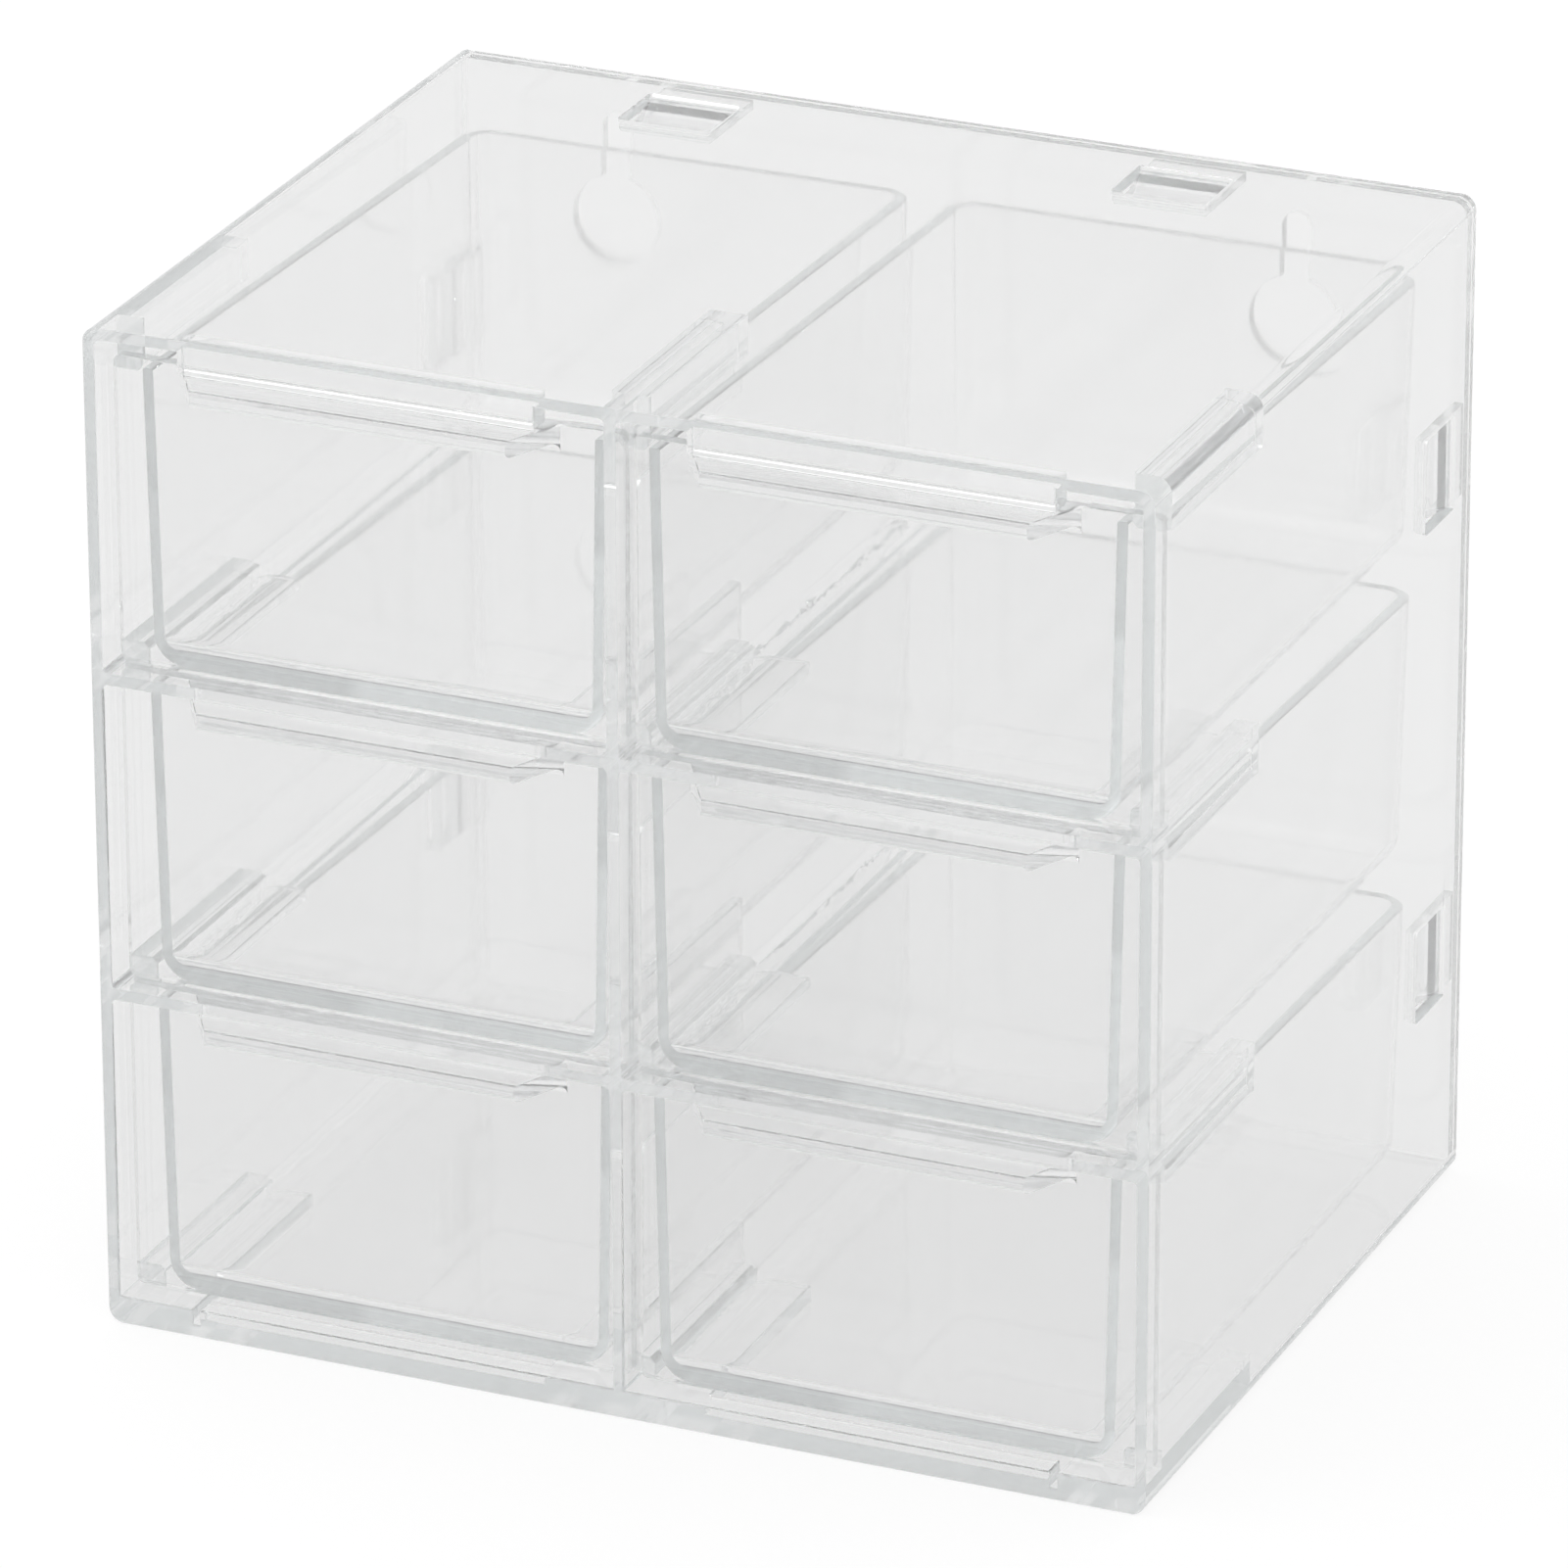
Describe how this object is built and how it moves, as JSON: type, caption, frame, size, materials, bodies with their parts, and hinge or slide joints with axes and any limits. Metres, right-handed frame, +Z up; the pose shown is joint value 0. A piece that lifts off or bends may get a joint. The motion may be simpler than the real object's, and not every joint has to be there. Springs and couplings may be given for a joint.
{
  "type": "drawer organizer box",
  "caption": "Clear plastic box of small pull-out drawers in a square-edged sleeve, with lip handles on the fronts and a clip-in back with keyholes for hanging.",
  "frame": {"origin": "on the surface that the box stands on, in the middle of its width and midway between the front edges of the lip handles and the back rim", "axes": "+Z up, +Y towards the back panel, +X to the right of someone facing the drawer fronts"},
  "size_m": [0.18, 0.142, 0.172],
  "materials": {
    "clear_case": "clear polished polystyrene",
    "clear_panel": "clear polished polystyrene",
    "clear_drawer": "clear polished polystyrene"
  },
  "bodies": {
    "case": {"case_shell": "clear_case", "back_panel": "clear_panel"},
    "drawer_body_bottom_left": {"drawer_bottom_left": "clear_drawer"},
    "drawer_body_bottom_right": {"drawer_bottom_right": "clear_drawer"},
    "drawer_body_middle_left": {"drawer_middle_left": "clear_drawer"},
    "drawer_body_middle_right": {"drawer_middle_right": "clear_drawer"},
    "drawer_body_top_left": {"drawer_top_left": "clear_drawer"},
    "drawer_body_top_right": {"drawer_top_right": "clear_drawer"}
  },
  "joints": [
    {"name": "bottom_left_slide", "type": "slide", "parent": "case", "child": "drawer_body_bottom_left", "axis": [0, -1, 0], "range_m": [0, 0.1]},
    {"name": "bottom_right_slide", "type": "slide", "parent": "case", "child": "drawer_body_bottom_right", "axis": [0, -1, 0], "range_m": [0, 0.1]},
    {"name": "middle_left_slide", "type": "slide", "parent": "case", "child": "drawer_body_middle_left", "axis": [0, -1, 0], "range_m": [0, 0.1]},
    {"name": "middle_right_slide", "type": "slide", "parent": "case", "child": "drawer_body_middle_right", "axis": [0, -1, 0], "range_m": [0, 0.1]},
    {"name": "top_left_slide", "type": "slide", "parent": "case", "child": "drawer_body_top_left", "axis": [0, -1, 0], "range_m": [0, 0.1]},
    {"name": "top_right_slide", "type": "slide", "parent": "case", "child": "drawer_body_top_right", "axis": [0, -1, 0], "range_m": [0, 0.1]}
  ]
}
